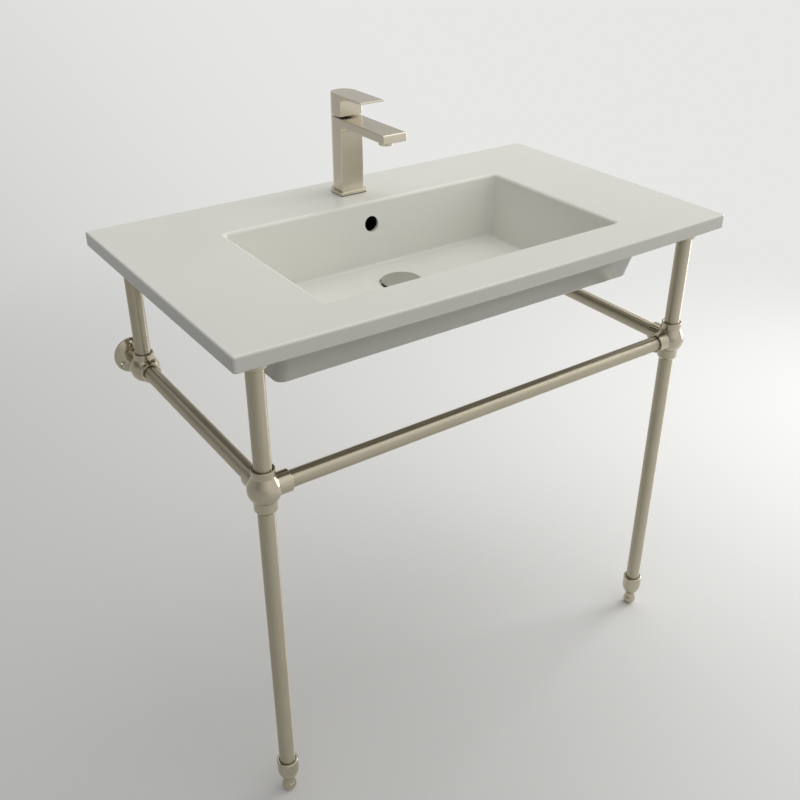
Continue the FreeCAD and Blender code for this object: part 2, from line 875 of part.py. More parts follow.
    # Wall flange with three countersunk holes
    name = f"{hand}_wall_flange"
    flange_r = S.flange_diameter / 2
    crown_r = S.wall_neck_diameter / 2 + S.flange_crown_step
    tenon_r = S.tenon_diameter / 2 + S.tube_fit
    dome_r = S.flange_diameter
    plate = turned(
        f"{name}_blank",
        [
            (0, 0),
            (flange_r, 0),
            (flange_r, S.flange_edge, dome_r),
            (crown_r, S.flange_height),
            (tenon_r, S.flange_height),
            (tenon_r, S.flange_height - S.tenon_length),
            (0, S.flange_height - S.tenon_length),
        ],
        x,
        wall,
        S.rail_height,
        "y",
    )
    plate.Placement = FreeCAD.Placement(FreeCAD.Vector(), FreeCAD.Rotation(FreeCAD.Vector(1, 0, 0), 90))
    circle_r = S.flange_hole_circle / 2
    fall = (S.flange_height - S.flange_edge) / (flange_r - crown_r)
    hole_height = S.flange_edge + (flange_r - circle_r) * fall
    holes = []
    for number, angle in enumerate((90, 210, 330)):
        hole_x = x + circle_r * round(math.cos(math.radians(angle)), 9)
        hole_z = S.rail_height + circle_r * round(math.sin(math.radians(angle)), 9)
        hole_r = S.flange_hole_diameter / 2
        sink_r = S.flange_sink_diameter / 2
        shaft = rod(f"{name}_hole_{number}", "y", hole_r, wall - S.flange_height, wall, hole_x, hole_z)
        sink = cone(
            f"{name}_sink_{number}",
            "y",
            sink_r + S.flange_edge,
            hole_r,
            wall - hole_height - S.flange_edge,
            wall - hole_height + sink_r - hole_r,
            hole_x,
            hole_z,
        )
        holes.extend([shaft, sink])
    keep(cut(name, plate, holes), name)

    # Tubes
    upper = pipe(f"{hand}_upper_leg", "z", tube_r, inner_r, S.rail_height + core, leg_top, x, leg_y)
    keep(upper, f"{hand}_upper_leg")
    lower = pipe(f"{hand}_lower_leg", "z", tube_r, inner_r, S.leg_end_height, S.rail_height - core, x, leg_y)
    keep(lower, f"{hand}_lower_leg")
    upright = pipe(f"{hand}_rear_upright", "z", tube_r, inner_r, S.rail_height + core, leg_top, x, rear_y)
    keep(upright, f"{hand}_rear_upright")
    side_rail = pipe(
        f"{hand}_side_rail", "y", tube_r, inner_r, leg_y + core, rear_y - core, x, S.rail_height
    )
    keep(side_rail, f"{hand}_side_rail")

    # Sockets and pads under the slab
    for y, end in ((leg_y, "front"), (rear_y, "rear")):
        cap = turned(
            f"{hand}_{end}_top_socket",
            [
                (0, S.top_socket_height),
                (0, S.top_socket_height - S.top_socket_roof),
                (bore_r, S.top_socket_height - S.top_socket_roof),
                (bore_r, S.mouth_drop),
                (mouth_r, S.mouth_drop),
                (mouth_r, 0),
                (top_socket_r - S.socket_lip_radius, 0, S.socket_lip_radius),
                (top_socket_r, S.socket_lip_radius),
                (top_socket_r, S.top_socket_height),
            ],
            x,
            y,
            top_socket_low,
        )
        keep(cap, f"{hand}_{end}_top_socket")
        pad_piece = rod(
            f"{hand}_{end}_top_pad", "z", top_socket_r - S.top_pad_inset, top_socket_high, under, x, y
        )
        keep(pad_piece, f"{hand}_{end}_top_pad")

    # Levelling foot: ball, neck, cup round the leg and stud, turned in one
    foot_r = S.foot_ball_diameter / 2
    flat_r = S.foot_flat_diameter / 2
    neck_r = S.foot_neck_diameter / 2
    ball_z = leg_of(foot_r, flat_r)
    neck_low = ball_z + leg_of(foot_r, neck_r)
    cup_inner = tube_r + S.cup_clearance
    cup_outer = cup_inner + S.cup_wall
    cup_low = S.foot_neck_top + S.cup_taper
    lip = S.cup_wall / 2
    stud_r = S.foot_stud_diameter / 2
    nut_top = S.leg_end_height + S.foot_nut_length
    foot = turned(
        f"{hand}_foot",
        [
            (0, 0),
            (flat_r, 0, foot_r),
            (neck_r, neck_low),
            (neck_r, S.foot_neck_top, S.cup_taper * 2),
            (cup_outer, cup_low),
            (cup_outer, S.cup_height - lip, lip),
            (cup_outer - lip, S.cup_height),
            (cup_inner, S.cup_height),
            (cup_inner, S.cup_floor_height),
            (stud_r, S.cup_floor_height),
            (stud_r, nut_top + S.foot_stud_spare),
            (0, nut_top + S.foot_stud_spare),
        ],
        x,
        leg_y,
        0,
    )
    keep(foot, f"{hand}_levelling_foot")
    nut = pipe(
        f"{hand}_foot_nut",
        "z",
        inner_r - S.tube_fit,
        stud_r + S.foot_stud_fit,
        S.leg_end_height,
        nut_top,
        x,
        leg_y,
    )
    keep(nut, f"{hand}_foot_nut")

rail_end = leg_x - core
front_rail = pipe("front_rail", "x", tube_r, inner_r, -rail_end, rail_end, leg_y, S.rail_height)
keep(front_rail, "front_rail")
keep(group("fitting_set_screws", grubs), "fitting_set_screws")

# Faucet body: column, spout and shank
column_x = S.column_width / 2
column_front = faucet_y - column_x
plate_low = top + S.gasket_thickness
column_low = plate_low + S.plate_thickness
column_top = top + S.faucet_top
spout_low = column_top - S.spout_thickness
spout_tip = column_front - S.spout_reach
faucet = make_body("faucet_blank")
column_sketch = draw(faucet, "column_sketch", "XY_Plane", column_low)
d_shape(column_sketch, column_x, column_front, faucet_y)
pad(faucet, column_sketch, column_top - column_low)
spout_sketch = draw(faucet, "spout_sketch", "YZ_Plane")
outline(
    spout_sketch,
    [
        (faucet_y, column_top),
        (spout_tip + S.spout_nose_radius, column_top, S.spout_nose_radius),
        (spout_tip, column_top - S.spout_nose_radius),
        (spout_tip, spout_low),
        (column_front - S.spout_root_radius, spout_low, -S.spout_root_radius),
        (column_front, spout_low - S.spout_root_radius),
        (faucet_y, spout_low - S.spout_root_radius),
    ],
)
pad(faucet, spout_sketch, S.column_width, "Symmetric")
round_body(
    faucet,
    "column_front_edges",
    S.column_edge_radius,
    lambda edge: near(abs(edge.CenterOfMass.x), column_x)
    and edge.CenterOfMass.y < column_front.value + 0.01
    and edge.CenterOfMass.z < spout_low.value + 0.01
    and edge.BoundBox.YMin > spout_tip.value - 0.01,
)
round_body(
    faucet,
    "faucet_top_edges",
    S.spout_top_radius,
    lambda edge: flat_at(edge, column_top) and edge.BoundBox.YLength > 1,
)
shank_low = under + S.shank_lift
shank_r = S.shank_diameter / 2
shank = rod("faucet_shank", "z", shank_r, shank_low, column_low, 0, faucet_y)
faucet_solid = fuse("faucet_solid", [faucet, shank])
cartridge_r = S.cartridge_diameter / 2
cartridge_low = column_top - S.cartridge_nut_height - S.cartridge_height
nut_low = column_top - S.cartridge_nut_height
water_z = spout_low + S.spout_thickness / 2
aerator_y = spout_tip + S.aerator_tip_distance
thread_r = S.aerator_thread_diameter / 2
stud_y = faucet_y + S.fixing_stud_back
fixing_r = S.fixing_stud_diameter / 2
inlet_r = S.inlet_diameter / 2
inlet_y = faucet_y - S.inlet_front
faucet_cuts = [
    rod("cartridge_bore", "z", cartridge_r + S.cartridge_fit, cartridge_low, column_top, 0, faucet_y),
    rod("water_bore", "y", S.water_bore_diameter / 2, aerator_y, faucet_y, 0, water_z),
    rod(
        "aerator_bore", "z", thread_r + S.shank_fit, spout_low,
        spout_low + S.aerator_thread_length + S.shank_fit, 0, aerator_y,
    ),
    rod("left_inlet", "z", inlet_r, shank_low, shank_low + S.inlet_depth, -S.inlet_side, inlet_y),
    rod("right_inlet", "z", inlet_r, shank_low, shank_low + S.inlet_depth, S.inlet_side, inlet_y),
    rod(
        "fixing_bore", "z", fixing_r + S.fixing_stud_fit, shank_low,
        shank_low + S.fixing_stud_depth, 0, stud_y,
    ),
]
keep(cut("faucet_body", faucet_solid, faucet_cuts), "faucet_body")

# Base plate and its gasket
plate_x = S.plate_width / 2
plate_front = faucet_y - plate_x
plate = make_body("plate_blank")
plate_sketch = draw(plate, "plate_sketch", "XY_Plane", plate_low)
d_shape(plate_sketch, plate_x, plate_front, faucet_y)
pad(plate, plate_sketch, S.plate_thickness)
round_body(
    plate,
    "plate_corners",
    S.plate_corner_radius,
    lambda edge: edge.BoundBox.ZLength > 1 and near(edge.CenterOfMass.y, plate_front),
)
round_body(plate, "plate_top_edge", S.plate_edge_radius, lambda edge: flat_at(edge, column_low))
plate_hole = rod("plate_hole", "z", shank_r + S.shank_fit, plate_low, column_low, 0, faucet_y)
keep(cut("faucet_base_plate", plate, [plate_hole]), "faucet_base_plate")
gasket = make_body("gasket_blank")
gasket_sketch = draw(gasket, "gasket_sketch", "XY_Plane", top)
gasket_front = plate_front + S.gasket_inset
d_shape(gasket_sketch, plate_x - S.gasket_inset, gasket_front, faucet_y)
pad(gasket, gasket_sketch, S.gasket_thickness)
round_body(
    gasket,
    "gasket_corners",
    S.plate_corner_radius,
    lambda edge: edge.BoundBox.ZLength > 1 and near(edge.CenterOfMass.y, gasket_front),
)
gasket_hole = rod("gasket_hole", "z", shank_r + S.shank_fit, top, plate_low, 0, faucet_y)
keep(cut("faucet_gasket", gasket, [gasket_hole]), "faucet_gasket")

# Cartridge, its nut, and the spindle that swivels in the nut
cartridge = rod("cartridge", "z", cartridge_r, cartridge_low, nut_low, 0, faucet_y)
keep(cartridge, "cartridge")
spindle_r = S.spindle_diameter / 2
cartridge_nut = pipe(
    "cartridge_nut", "z", cartridge_r, spindle_r + S.spindle_fit, nut_low, column_top, 0, faucet_y
)
keep(cartridge_nut, "cartridge_nut")
lever_low = column_top + S.lever_gap
pivot_y = faucet_y + S.pivot_set_back
pivot_z = lever_low + S.pivot_height
boss_r = S.pivot_boss_diameter / 2
clevis_x = S.clevis_width / 2
stem_x = S.stem_width / 2
clevis = make_body("clevis_blank")
clevis_sketch = draw(clevis, "clevis_sketch", "YZ_Plane")
outline(
    clevis_sketch,
    [
        (faucet_y - boss_r, column_top),
        (faucet_y + boss_r, column_top),
        (pivot_y + boss_r, pivot_z - boss_r),
        (pivot_y + boss_r, pivot_z, boss_r * 1.1),
        (pivot_y - boss_r, pivot_z),
        (faucet_y - boss_r, pivot_z - boss_r * 2),
    ],
)
pad(clevis, clevis_sketch, S.clevis_width, "Symmetric")
disc = rod("spindle_disc", "z", spindle_r, nut_low + S.stem_fit, column_top, 0, faucet_y)
spindle_solid = fuse("spindle_solid", [clevis, disc])
eye_gap = boss_r + S.stem_fit * 6
fork_slot = block(
    "fork_slot",
    (-stem_x - S.stem_fit, stem_x + S.stem_fit),
    (faucet_y - S.spindle_diameter, pivot_y + S.spindle_diameter),
    (pivot_z - eye_gap, pivot_z + eye_gap),
)
pin_r = S.pivot_pin_diameter / 2
pin_hole = rod("pin_hole", "x", pin_r + S.pivot_fit / 5, -clevis_x, clevis_x, pivot_y, pivot_z)
keep(cut("mixer_spindle", spindle_solid, [fork_slot, pin_hole]), "mixer_spindle")
pivot_pin = rod("pivot_pin", "x", pin_r, -clevis_x, clevis_x, pivot_y, pivot_z)
keep(pivot_pin, "pivot_pin")

# Lever handle with its stem and set screw
lever_top = lever_low + S.lever_block_height
block_back = faucet_y + column_x
block_front = column_front + S.lever_front_inset
lever_tip = block_front - S.lever_reach
root_low = lever_top - S.lever_root_thickness
handle = make_body("handle_blank")
block_sketch = draw(handle, "block_sketch", "XY_Plane", lever_low)
d_shape(block_sketch, column_x, block_front, faucet_y)
pad(handle, block_sketch, S.lever_block_height)
arm_sketch = draw(handle, "arm_sketch", "YZ_Plane")
outline(
    arm_sketch,
    [
        (faucet_y, lever_top),
        (lever_tip, lever_top),
        (lever_tip, lever_top - S.lever_tip_thickness),
        (block_front - S.lever_root_radius, root_low, -S.lever_root_radius),
        (block_front, root_low - S.lever_root_radius),
        (faucet_y, root_low - S.lever_root_radius),
    ],
)
pad(handle, arm_sketch, S.column_width, "Symmetric")
round_body(
    handle,
    "handle_front_edges",
    S.lever_front_radius,
    lambda edge: near(abs(edge.CenterOfMass.x), column_x)
    and edge.BoundBox.ZLength > S.lever_block_height.value / 2
    and near(edge.CenterOfMass.y, block_front),
)
round_body(handle, "handle_top_edges", S.lever_edge_radius, lambda edge: flat_at(edge, lever_top))
hollow_x = S.lever_hollow_width / 2
hollow_high = lever_low + S.lever_hollow_height
stem_high = hollow_high + S.stem_socket
stem_y = S.stem_depth / 2
screw_r = S.lever_screw_diameter / 2
screw_z = lever_top - S.lever_screw_below_top
stem_back = pivot_y + stem_y
handle_cuts = [
    block(
        "lever_hollow",
        (-hollow_x, hollow_x),
        (block_front + S.lever_hollow_skin, block_back - S.lever_hollow_skin),
        (lever_low, hollow_high),
    ),
    block(
        "stem_socket",
        (-stem_x - S.stem_fit, stem_x + S.stem_fit),
        (pivot_y - stem_y - S.stem_fit, stem_back + S.stem_fit),
        (hollow_high, stem_high + S.stem_fit),
    ),
    rod("screw_hole", "y", screw_r + S.grub_fit, stem_back, block_back, 0, screw_z),
]
keep(cut("lever_handle", handle, handle_cuts), "lever_handle")
eye = rod("stem_eye", "x", boss_r, -stem_x, stem_x, pivot_y, pivot_z)
stem_bar = block("stem_bar", (-stem_x, stem_x), (pivot_y - stem_y, stem_back), (pivot_z + boss_r, stem_high))
stem_neck = block(
    "stem_neck", (-stem_x, stem_x), (pivot_y - boss_r, pivot_y + boss_r), (pivot_z, pivot_z + boss_r * 2)
)
stem_solid = fuse("stem_solid", [eye, stem_neck, stem_bar])
eye_hole = rod("eye_hole", "x", pin_r + S.pivot_fit, -stem_x, stem_x, pivot_y, pivot_z)
keep(cut("lever_stem", stem_solid, [eye_hole]), "lever_stem")
screw_end = block_back - S.lever_edge_radius
lever_screw_shank = rod("lever_screw_shank", "y", screw_r, stem_back, screw_end, 0, screw_z)
lever_screw_key = hexagon(
    "lever_screw_key", "y", S.lever_screw_key / math.sqrt(3), (stem_back + screw_end) / 2, screw_end, 0, screw_z
)
keep(cut("lever_set_screw", lever_screw_shank, [lever_screw_key]), "lever_set_screw")

# Aerator
aerator_r = S.aerator_diameter / 2
aerator_low = spout_low - S.aerator_drop
grid_r = aerator_r - S.aerator_rim
grid_low = aerator_low + S.aerator_recess
grid_high = grid_low + S.aerator_grid_thickness
aerator = turned(
    "aerator_housing",
    [
        (grid_r, 0),
        (aerator_r - S.aerator_edge_radius, 0, S.aerator_edge_radius),
        (aerator_r, S.aerator_edge_radius),
        (aerator_r, S.aerator_drop),
        (thread_r, S.aerator_drop),
        (thread_r, S.aerator_drop + S.aerator_thread_length),
        (thread_r - S.aerator_rim, S.aerator_drop + S.aerator_thread_length),
        (thread_r - S.aerator_rim, S.aerator_recess + S.aerator_grid_thickness),
        (grid_r, S.aerator_recess + S.aerator_grid_thickness),
    ],
    0,
    aerator_y,
    aerator_low,
)
keep(aerator, "aerator_housing")
grid_disc = rod("grid_disc", "z", grid_r - S.tube_fit, grid_low, grid_high, 0, aerator_y)
jets = [rod("jet_middle", "z", S.aerator_jet_diameter / 2, grid_low, grid_high, 0, aerator_y)]
for ring_number, (count, share) in enumerate(((6, 0.36), (12, 0.74))):
    for number in range(count):
        angle = 2 * math.pi * number / count
        jet_x = grid_r * round(share * math.cos(angle), 9)
        jet_y = aerator_y + grid_r * round(share * math.sin(angle), 9)
        jet_name = f"jet_{ring_number}_{number}"
        jets.append(rod(jet_name, "z", S.aerator_jet_diameter / 2, grid_low, grid_high, jet_x, jet_y))
keep(cut("aerator_insert", grid_disc, jets), "aerator_insert")

# Fixing under the deck: stud, rubber and steel horseshoes, nut
fixing_low = under - S.fixing_stud_below
fixing_high = shank_low + S.fixing_stud_depth
fixing = rod("faucet_fixing_stud", "z", fixing_r, fixing_low, fixing_high, 0, stud_y)
keep(fixing, "faucet_fixing_stud")
rubber_low = under - S.rubber_thickness
bracket_low = rubber_low - S.bracket_thickness
for label, low, high in (
    ("faucet_rubber_horseshoe", rubber_low, under),
    ("faucet_steel_horseshoe", bracket_low, rubber_low),
):
    plate_disc = rod(f"{label}_disc", "z", S.horseshoe_diameter / 2, low, high, 0, faucet_y)
    slot = block(
        f"{label}_slot",
        (S.horseshoe_slot / -2, S.horseshoe_slot / 2),
        (faucet_y - S.horseshoe_diameter, faucet_y + S.horseshoe_bridge),
        (low, high),
    )
    stud_hole = rod(f"{label}_hole", "z", fixing_r + S.fixing_stud_fit, low, high, 0, stud_y)
    keep(cut(label, plate_disc, [slot, stud_hole]), label)
fixing_nut_low = bracket_low - S.fixing_nut_height
fixing_nut = cut(
    "faucet_fixing_nut",
    hexagon("fixing_nut_hex", "z", S.fixing_nut_corner / 2, fixing_nut_low, bracket_low, 0, stud_y),
    [rod("fixing_nut_bore", "z", fixing_r + S.fixing_stud_fit, fixing_nut_low, bracket_low, 0, stud_y)],
)
keep(fixing_nut, "faucet_fixing_nut")

# Drain body: flange, threaded barrel with overflow windows, spider for the click mechanism
drain_gasket_top = recess_floor + S.drain_gasket_thickness
flange_top = drain_gasket_top + S.drain_flange_thickness
drain_bore_r = S.drain_bore_diameter / 2
drain_low = hub_bottom - S.drain_below_hub
tail_r = S.tail_diameter / 2
tail_thread_r = tail_r - S.tail_thread_step
tail_stop = drain_low + S.tail_socket
barrel = turned(
    "drain_barrel",
    [
        (tail_thread_r + S.tail_fit, 0),
        (drain_outer_r, 0),
        (drain_outer_r, drain_gasket_top - drain_low),
        (S.drain_flange_diameter / 2, drain_gasket_top - drain_low),
        (S.drain_flange_diameter / 2, flange_top - drain_low),
        (drain_bore_r, flange_top - drain_low),
        (drain_bore_r, tail_stop - drain_low),
        (tail_thread_r + S.tail_fit, tail_stop - drain_low),
    ],
    0,
    drain_y,
    drain_low,
)
window_x = S.window_width / 2
windows = [
    block(
        "window_across",
        (-drain_outer_r, drain_outer_r),
        (drain_y - window_x, drain_y + window_x),
        (channel_low, channel_high),
    ),
    block(
        "window_along",
        (-window_x, window_x),
        (drain_y - drain_outer_r, drain_y + drain_outer_r),
        (channel_low, channel_high),
    ),
]
pierced = cut("drain_pierced", barrel, windows)
spider_high = channel_low - S.spider_rib
spider_low = spider_high - S.spider_hub_height
spider_r = S.spider_hub_diameter / 2
rib = S.spider_rib / 2
spider_reach = drain_bore_r + S.drain_wall / 2
spider = [
    rod("spider_hub", "z", spider_r, spider_low, spider_high, 0, drain_y),
    block(
        "spider_across",
        (-spider_reach, spider_reach),
        (drain_y - rib, drain_y + rib),
        (spider_low, spider_high),
    ),
    block(
        "spider_along",
        (-rib, rib),
        (drain_y - spider_reach, drain_y + spider_reach),
        (spider_low, spider_high),
    ),
]
click_r = S.click_diameter / 2
click_hole = rod("click_hole", "z", click_r + S.click_fit, spider_low, spider_high, 0, drain_y)
drain_body = cut("drain_body", fuse("drain_solid", [pierced] + spider), [click_hole])
keep(drain_body, "drain_body")
drain_gasket = pipe(
    "drain_flange_gasket", "z", S.drain_flange_diameter / 2 - S.gasket_inset, drain_outer_r + S.tube_fit,
    recess_floor, drain_gasket_top, 0, drain_y,
)
keep(drain_gasket, "drain_flange_gasket")
gasket_low = hub_bottom - S.drain_gasket_height
gasket_r = drain_outer_r + S.drain_gasket_width
drain_seal = turned(
    "drain_under_gasket",
    [
        (drain_outer_r + S.tube_fit, 0),
        (gasket_r, 0),
        (gasket_r, S.drain_gasket_height / 2),
        (gasket_r - S.drain_gasket_width / 2, S.drain_gasket_height),
        (drain_outer_r + S.tube_fit, S.drain_gasket_height),
    ],
    0,
    drain_y,
    gasket_low,
)
keep(drain_seal, "drain_under_gasket")
washer_low = gasket_low - S.drain_washer_thickness
drain_washer = pipe(
    "drain_washer", "z", gasket_r, drain_outer_r + S.tube_fit, washer_low, gasket_low, 0, drain_y
)
keep(drain_washer, "drain_washer")
drain_nut_low = washer_low - S.drain_nut_height
drain_nut = cut(
    "drain_locknut",
    hexagon("drain_nut_hex", "z", S.drain_nut_corner / 2, drain_nut_low, washer_low, 0, drain_y),
    [rod("drain_nut_bore", "z", drain_outer_r + S.tube_fit, drain_nut_low, washer_low, 0, drain_y)],
)
keep(drain_nut, "drain_locknut")
thread_high = S.tail_length + S.tail_socket - S.tail_stop_gap
tail = turned(
    "drain_tailpiece",
    [
        (tail_r - S.tail_wall, 0),
        (tail_r, 0),
        (tail_r, S.tail_length),
        (tail_thread_r, S.tail_length),
        (tail_thread_r, thread_high),
        (tail_r - S.tail_wall, thread_high),
    ],
    0,
    drain_y,
    drain_low - S.tail_length,
)
keep(tail, "drain_tailpiece")

# Click mechanism and stopper
stem_r = S.stopper_stem_diameter / 2
click_bottom = spider_high - S.click_length + S.click_collar
click = turned(
    "stopper_click",
    [
        (0, 0),
        (click_r, 0),
        (click_r, S.click_length - S.click_collar),
        (spider_r, S.click_length - S.click_collar),
        (spider_r, S.click_length),
        (stem_r + S.stopper_stem_fit, S.click_length),
        (stem_r + S.stopper_stem_fit, S.click_skin),
        (0, S.click_skin),
    ],
    0,
    drain_y,
    click_bottom,
)
keep(click, "stopper_click")
cap_r = S.cap_diameter / 2
cap_rim = dish_low + S.cap_stand
cap_low = cap_rim - S.cap_thickness
plug_r = S.plug_diameter / 2
cap_edge = cap_r - S.cap_edge_radius
cap_sphere = (cap_edge * cap_edge + S.cap_crown * S.cap_crown) / (S.cap_crown * 2)
seal_low = flange_top + S.seal_gap
stem_low = cap_low - S.stopper_stem_length
stopper = turned(
    "drain_stopper",
    [
        (0, cap_rim + S.cap_crown - stem_low),
        (0, 0),
        (stem_r, 0),
        (stem_r, seal_low - S.plug_drop - stem_low),
        (plug_r, seal_low - S.plug_drop - stem_low),
        (plug_r, cap_low - stem_low),
        (cap_r, cap_low - stem_low),
        (cap_r, cap_rim - S.cap_edge_radius - stem_low, S.cap_edge_radius),
        (cap_edge, cap_rim - stem_low, cap_sphere),
    ],
    0,
    drain_y,
    stem_low,
)
keep(stopper, "drain_stopper")
seal = pipe(
    "stopper_seal", "z", cap_r - S.seal_inset, plug_r + S.tube_fit, seal_low, cap_low, 0, drain_y
)
keep(seal, "stopper_seal")

doc.recompute()
faults = [item.Name for item in doc.Objects if "Invalid" in item.State or "Error" in item.State]
if faults:
    raise RuntimeError(f"features that failed: {faults}")
os.makedirs("parts", exist_ok=True)
for piece in pieces:
    shape = piece.Shape
    if shape.isNull() or not shape.isValid():
        raise RuntimeError(f"bad solid: {piece.Label}")
    shape.exportStep(f"parts/{piece.Label}.step")
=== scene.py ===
"""Looks for the console bathroom sink: finishes, light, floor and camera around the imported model."""

import json
import math

import bpy
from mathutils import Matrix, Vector

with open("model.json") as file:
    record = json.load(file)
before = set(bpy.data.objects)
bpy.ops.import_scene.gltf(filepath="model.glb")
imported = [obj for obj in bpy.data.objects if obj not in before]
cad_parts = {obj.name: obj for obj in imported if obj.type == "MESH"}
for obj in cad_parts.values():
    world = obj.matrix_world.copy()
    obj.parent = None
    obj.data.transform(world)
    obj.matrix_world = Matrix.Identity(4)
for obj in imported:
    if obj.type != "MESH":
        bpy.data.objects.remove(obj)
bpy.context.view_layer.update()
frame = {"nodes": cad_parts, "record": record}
nodes = frame["nodes"]
scene = bpy.context.scene

# Cosines between the true normal and the rounded one: no edge at the first, a full edge at the second
EDGE_TURN = (0.995, 0.90)
EDGE_SAMPLES = 4


class Nodes:
    """A small helper that adds and links the nodes of one material, or of the world."""

    def __init__(self, name, tree=None):
        if tree is None:
            self.material = bpy.data.materials.new(name)
            self.material.use_nodes = True
            tree = self.material.node_tree
        self.tree = tree
        self.tree.nodes.clear()

    def add(self, kind, **settings):
        node = self.tree.nodes.new(kind)
        for key, value in settings.items():
            setattr(node, key, value)
        return node

    def put(self, socket, value):
        """Links an output to a socket, or sets a plain value on it."""
        if isinstance(value, bpy.types.NodeSocket):
            self.tree.links.new(value, socket)
        elif isinstance(value, tuple) and len(value) == 3 and socket.type == "RGBA":
            socket.default_value = (*value, 1.0)
        else:
            socket.default_value = value

    def place(self):
        """The place on the piece in metres, which moves with the piece."""
        return self.add("ShaderNodeTexCoord").outputs["Object"]

    def normal(self):
        return self.add("ShaderNodeNewGeometry").outputs["Normal"]

    def seen(self):
        """One for the rays that show the background: straight on, in a reflection or through glass."""
        rays = self.add("ShaderNodeLightPath").outputs
        direct = self.calc("MAXIMUM", rays["Is Camera Ray"], rays["Is Glossy Ray"])
        return self.calc("MAXIMUM", direct, rays["Is Transmission Ray"])

    def vector(self, operation, first, second=(0.0, 0.0, 0.0)):
        node = self.add("ShaderNodeVectorMath", operation=operation)
        self.put(node.inputs[0], first)
        self.put(node.inputs[1], second)
        return node.outputs

    def stretch(self, vector, scale):
        return self.vector("MULTIPLY", vector, scale)["Vector"]

    def dot(self, first, second):
        return self.vector("DOT_PRODUCT", first, second)["Value"]

    def length(self, vector):
        return self.vector("LENGTH", vector)["Value"]

    def split(self, vector):
        node = self.add("ShaderNodeSeparateXYZ")
        self.put(node.inputs[0], vector)
        return node.outputs

    def calc(self, operation, first, second=0.0):
        node = self.add("ShaderNodeMath", operation=operation)
        self.put(node.inputs[0], first)
        self.put(node.inputs[1], second)
        return node.outputs[0]

    def times(self, first, *others):
        for other in others:
            first = self.calc("MULTIPLY", first, other)
        return first

    def span(self, value, low, high, to_low=0.0, to_high=1.0, smooth=False):
        """The value's way from low to high, held at both ends and spread over the new range."""
        node = self.add("ShaderNodeMapRange")
        if smooth:
            node.interpolation_type = "SMOOTHSTEP"
        for socket, amount in zip(node.inputs, (value, low, high, to_low, to_high)):
            self.put(socket, amount)
        return node.outputs[0]

    def mix(self, share, first, second):
        """A number between two numbers."""
        node = self.add("ShaderNodeMix", data_type="FLOAT")
        for socket, amount in zip((node.inputs[0], node.inputs[2], node.inputs[3]), (share, first, second)):
            self.put(socket, amount)
        return node.outputs[0]

    def blend(self, share, first, second):
        """A colour between two colours."""
        node = self.add("ShaderNodeMix", data_type="RGBA")
        colours = [socket for socket in node.inputs if socket.type == "RGBA"]
        self.put(node.inputs[0], share)
        self.put(colours[0], first)
        self.put(colours[1], second)
        return [socket for socket in node.outputs if socket.type == "RGBA"][0]

    def noise(self, vector, scale, detail=2.0, roughness=0.5):
        node = self.add("ShaderNodeTexNoise")
        self.put(node.inputs["Vector"], vector)
        self.put(node.inputs["Scale"], scale)
        self.put(node.inputs["Detail"], detail)
        self.put(node.inputs["Roughness"], roughness)
        return node.outputs["Fac"]

    def edges(self, radius):
        """High along the sharp edges of the piece, none on its flat faces."""
        bevel = self.add("ShaderNodeBevel", samples=EDGE_SAMPLES)
        self.put(bevel.inputs["Radius"], radius)
        return self.span(self.dot(bevel.outputs["Normal"], self.normal()), *EDGE_TURN)

    def bump(self, height, strength, distance):
        node = self.add("ShaderNodeBump")
        self.put(node.inputs["Height"], height)
        self.put(node.inputs["Strength"], strength)
        self.put(node.inputs["Distance"], distance)
        return node.outputs["Normal"]

    def surface(self, **sockets):
        """The shader itself, with its sockets linked or set, and the material that it ends."""
        shader = self.add("ShaderNodeBsdfPrincipled")
        for name, value in sockets.items():
            self.put(shader.inputs[name.replace("_", " ")], value)
        output = self.add("ShaderNodeOutputMaterial")
        self.put(output.inputs["Surface"], shader.outputs[0])
        return self.material


def tint(colour, share):
    return tuple(channel * share for channel in colour)


# Colours are linear, scales of a noise are in waves per metre, widths and depths are in metres,
# and a bump is its strength and its depth

# The span that most of a noise lies in
MOST = (0.3, 0.7)
CLOUD_NOISE = {"detail": 3.0}
GRAIN_NOISE = {"detail": 3.0, "roughness": 0.6}

# Ceramic
GLAZE = (0.758, 0.757, 0.702)
GLAZE_SHADE = (0.738, 0.737, 0.682)
GLAZE_EDGE = (0.805, 0.803, 0.748)
GLAZE_EDGE_WIDTH = 0.004
GLAZE_EDGE_SHARE = 0.5
GLAZE_WAVES = 5.0
GLAZE_RIPPLES = 42.0
GLAZE_ROUGHNESS = (0.13, 0.19)
GLAZE_IOR = 1.5
GLAZE_BUMP = (0.05, 0.002)
CLAY = (0.620, 0.590, 0.515)
CLAY_TINTS = (0.88, 1.08)
CLAY_GRIT = 900.0
CLAY_GRIT_HEIGHT = 0.3
CLAY_ROUGHER = 0.42
# How far a face looks down where the glaze ends and where the clay is bare
CLAY_FACING = (-0.80, -0.97)
# The overflow passage behind the bowl's back wall is painted near black as shade: on each side, where the
# painted shade starts and where it is full
OVERFLOW_PAINTED_SHADE = (0.006, 0.006, 0.005)
OVERFLOW_FRONT = (0.1290, 0.1325)
OVERFLOW_BACK = (0.1490, 0.1480)
OVERFLOW_SIDES = (0.0165, 0.0155)
OVERFLOW_TOP = (0.8420, 0.8405)


